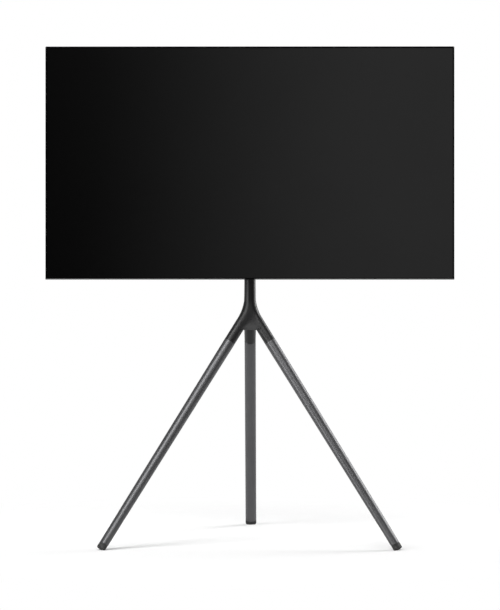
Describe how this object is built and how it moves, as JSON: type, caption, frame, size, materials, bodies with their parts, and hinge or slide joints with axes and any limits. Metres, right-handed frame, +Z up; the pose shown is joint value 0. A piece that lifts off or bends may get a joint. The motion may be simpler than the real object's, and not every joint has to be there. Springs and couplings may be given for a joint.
{
  "type": "television on a tripod floor stand",
  "caption": "Flat television held by a swivel head on a slim tripod floor stand, with a flared cast hub, tapered tube legs and rubber feet.",
  "frame": {"origin": "on the floor, at the middle of the whole object's box seen from above", "axes": "+Z up along the pole, +X to the viewer's right, +Y away from the viewer, so the screen faces -Y"},
  "size_m": [1.228, 0.7826, 1.495],
  "materials": {
    "black_plastic": "fine-grained black",
    "black_rubber": "matt black",
    "black_screw": "black oxide",
    "cast_black": "matt black die casting, fine grain",
    "circuit_green": "green solder mask",
    "dark_steel": "satin black powder coat",
    "diffuser_white": "white",
    "edge_metal": "anodised black, satin",
    "gunmetal": "satin metallic gunmetal grey",
    "nylon": "natural white nylon",
    "screen_glass": "near-black glossy front glass with an anti-reflection coat",
    "sensor_red": "very dark red, glossy",
    "sheet_steel": "zinc-coated sheet",
    "socket_steel": "bright tin plate",
    "zinc_screw": "bright zinc plate"
  },
  "bodies": {
    "stand": {"foot_cap_front_left": "black_rubber", "foot_cap_front_right": "black_rubber", "foot_cap_rear": "black_rubber", "hub_casting": "cast_black", "leg_screw_front_left": "black_screw", "leg_screw_front_right": "black_screw", "leg_screw_rear": "black_screw", "leg_tube_front_left": "gunmetal", "leg_tube_front_right": "gunmetal", "leg_tube_rear": "gunmetal", "pole_cap": "black_plastic", "pole_screw": "black_screw", "pole_tube": "gunmetal", "stop_collar": "dark_steel", "stop_collar_screw": "black_screw", "thrust_washer": "nylon"},
    "head": {"arm_left": "dark_steel", "arm_right": "dark_steel", "backlight_chassis": "sheet_steel", "cover_screw_left_high": "black_screw", "cover_screw_left_low": "black_screw", "cover_screw_right_high": "black_screw", "cover_screw_right_low": "black_screw", "diffuser_plate": "diffuser_white", "electronics_cover": "black_plastic", "frame_bottom": "edge_metal", "frame_left": "edge_metal", "frame_right": "edge_metal", "frame_top": "edge_metal", "head_bracket": "dark_steel", "key_switch": "black_plastic", "led_board": "diffuser_white", "lower_bush": "nylon", "main_board": "circuit_green", "mount_plate": "dark_steel", "mount_screw_left_high": "black_screw", "mount_screw_left_low": "black_screw", "mount_screw_right_high": "black_screw", "mount_screw_right_low": "black_screw", "mount_spacer_left_high": "black_plastic", "mount_spacer_left_low": "black_plastic", "mount_spacer_right_high": "black_plastic", "mount_spacer_right_low": "black_plastic", "plate_bolt_left": "zinc_screw", "plate_bolt_right": "zinc_screw", "power_board": "circuit_green", "power_inlet": "black_plastic", "rear_cover": "black_plastic", "remote_sensor": "sensor_red", "screen_panel": "screen_glass", "socket_block": "socket_steel", "speaker_left": "black_plastic", "speaker_right": "black_plastic", "swivel_sleeve": "dark_steel", "terminal_tray": "black_plastic", "upper_bush": "nylon"},
    "key": {"power_key": "black_plastic"}
  },
  "joints": [
    {"name": "head_swivel", "type": "hinge", "parent": "stand", "child": "head", "pos_m": [0, -0.12336, 1.1], "axis": [0, 0, 1], "range_deg": [-45, 45]},
    {"name": "power_key_press", "type": "slide", "parent": "head", "child": "key", "axis": [0, 0, 1], "range_m": [0, 0.0012], "stiffness_N_per_m": 600, "springref_m": -0.0005}
  ]
}
